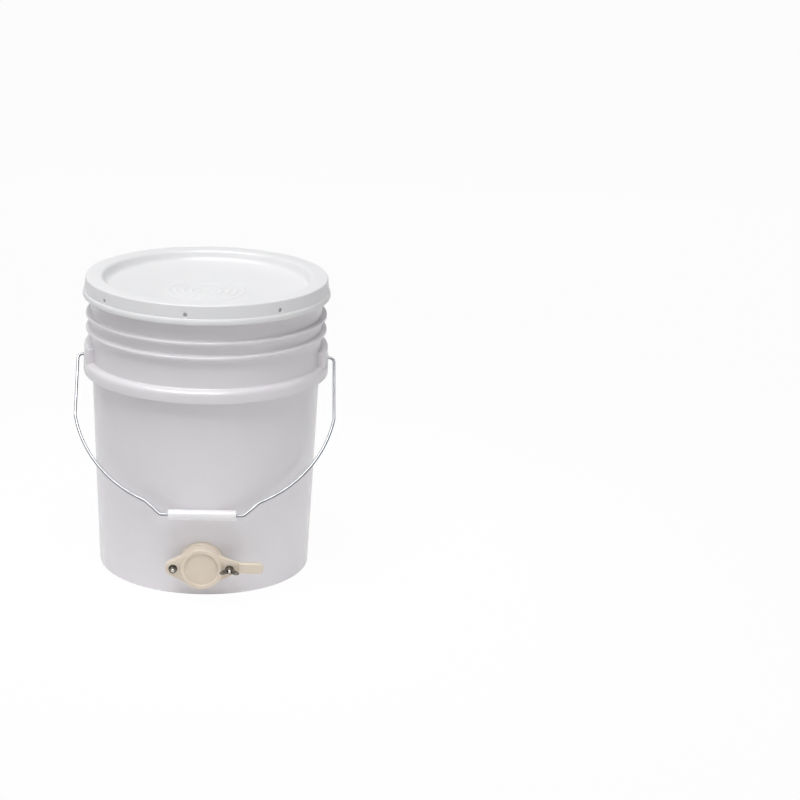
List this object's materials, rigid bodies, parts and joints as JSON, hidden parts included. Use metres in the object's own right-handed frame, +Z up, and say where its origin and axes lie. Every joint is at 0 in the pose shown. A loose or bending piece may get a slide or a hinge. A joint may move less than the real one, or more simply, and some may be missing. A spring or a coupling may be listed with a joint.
{
  "type": "honey bucket with gate",
  "caption": "Round plastic pail with a lift-off lid, wire bail with tube grip, and a swinging outlet gate with lever and wing nut at its foot for drawing off honey.",
  "frame": {"origin": "middle of the foot ring, on the ground", "axes": "+Z up, the outlet gate faces -Y, the bail hinges about X"},
  "size_m": [0.3308, 0.333, 0.3808],
  "materials": {
    "pail_plastic": "moulded white polyethylene, satin",
    "lid_plastic": "moulded white polyethylene, satin",
    "grip_plastic": "moulded white polyethylene, smooth",
    "gate_plastic": "moulded cream nylon, satin",
    "seal_rubber": "moulded silicone rubber, matt",
    "zinc_wire": "bright zinc plate",
    "fastener_steel": "stainless steel, turned"
  },
  "bodies": {
    "bucket": {"bucket_body": "pail_plastic", "gate_body": "gate_plastic", "gate_outer_gasket": "seal_rubber", "gate_inner_gasket": "seal_rubber", "gate_lock_nut": "gate_plastic", "pivot_bolt": "fastener_steel", "pivot_washer": "fastener_steel", "pivot_spring_washer": "fastener_steel", "pivot_nut": "fastener_steel", "clamp_bolt": "fastener_steel"},
    "lid": {"lid": "lid_plastic", "lid_gasket": "seal_rubber"},
    "bail": {"bail_wire": "zinc_wire"},
    "grip": {"bail_grip": "grip_plastic"},
    "gate": {"gate_blade": "gate_plastic"},
    "clamp_washer": {"clamp_washer": "fastener_steel"},
    "wing_nut": {"wing_nut": "fastener_steel"}
  },
  "joints": [
    {"name": "lid_lift", "type": "slide", "parent": "bucket", "child": "lid", "axis": [0, 0, 1], "range_m": [0, 0.16]},
    {"name": "bail_swing", "type": "hinge", "parent": "bucket", "child": "bail", "pos_m": [0, 0, 0.274], "axis": [-1, 0, 0], "range_deg": [0, 275.9]},
    {"name": "grip_turn", "type": "hinge", "parent": "bail", "child": "grip", "pos_m": [0, -0.14695, 0.1108], "axis": [1, 0, 0], "continuous": true},
    {"name": "gate_swing", "type": "hinge", "parent": "bucket", "child": "gate", "pos_m": [-0.03525, -0.156, 0.044], "axis": [0, -1, 0], "range_deg": [0, 95]},
    {"name": "clamp_slide", "type": "slide", "parent": "bucket", "child": "clamp_washer", "axis": [0, -1, 0], "range_m": [0, 0.00221]},
    {"name": "wing_nut_turn", "type": "hinge", "parent": "clamp_washer", "child": "wing_nut", "pos_m": [0.03525, -0.161, 0.044], "axis": [0, -1, 0], "range_deg": [0, 990]}
  ],
  "couplings": [
    {"joint": "clamp_slide", "follows": "wing_nut_turn", "m_per_rad": 0.00012732}
  ]
}
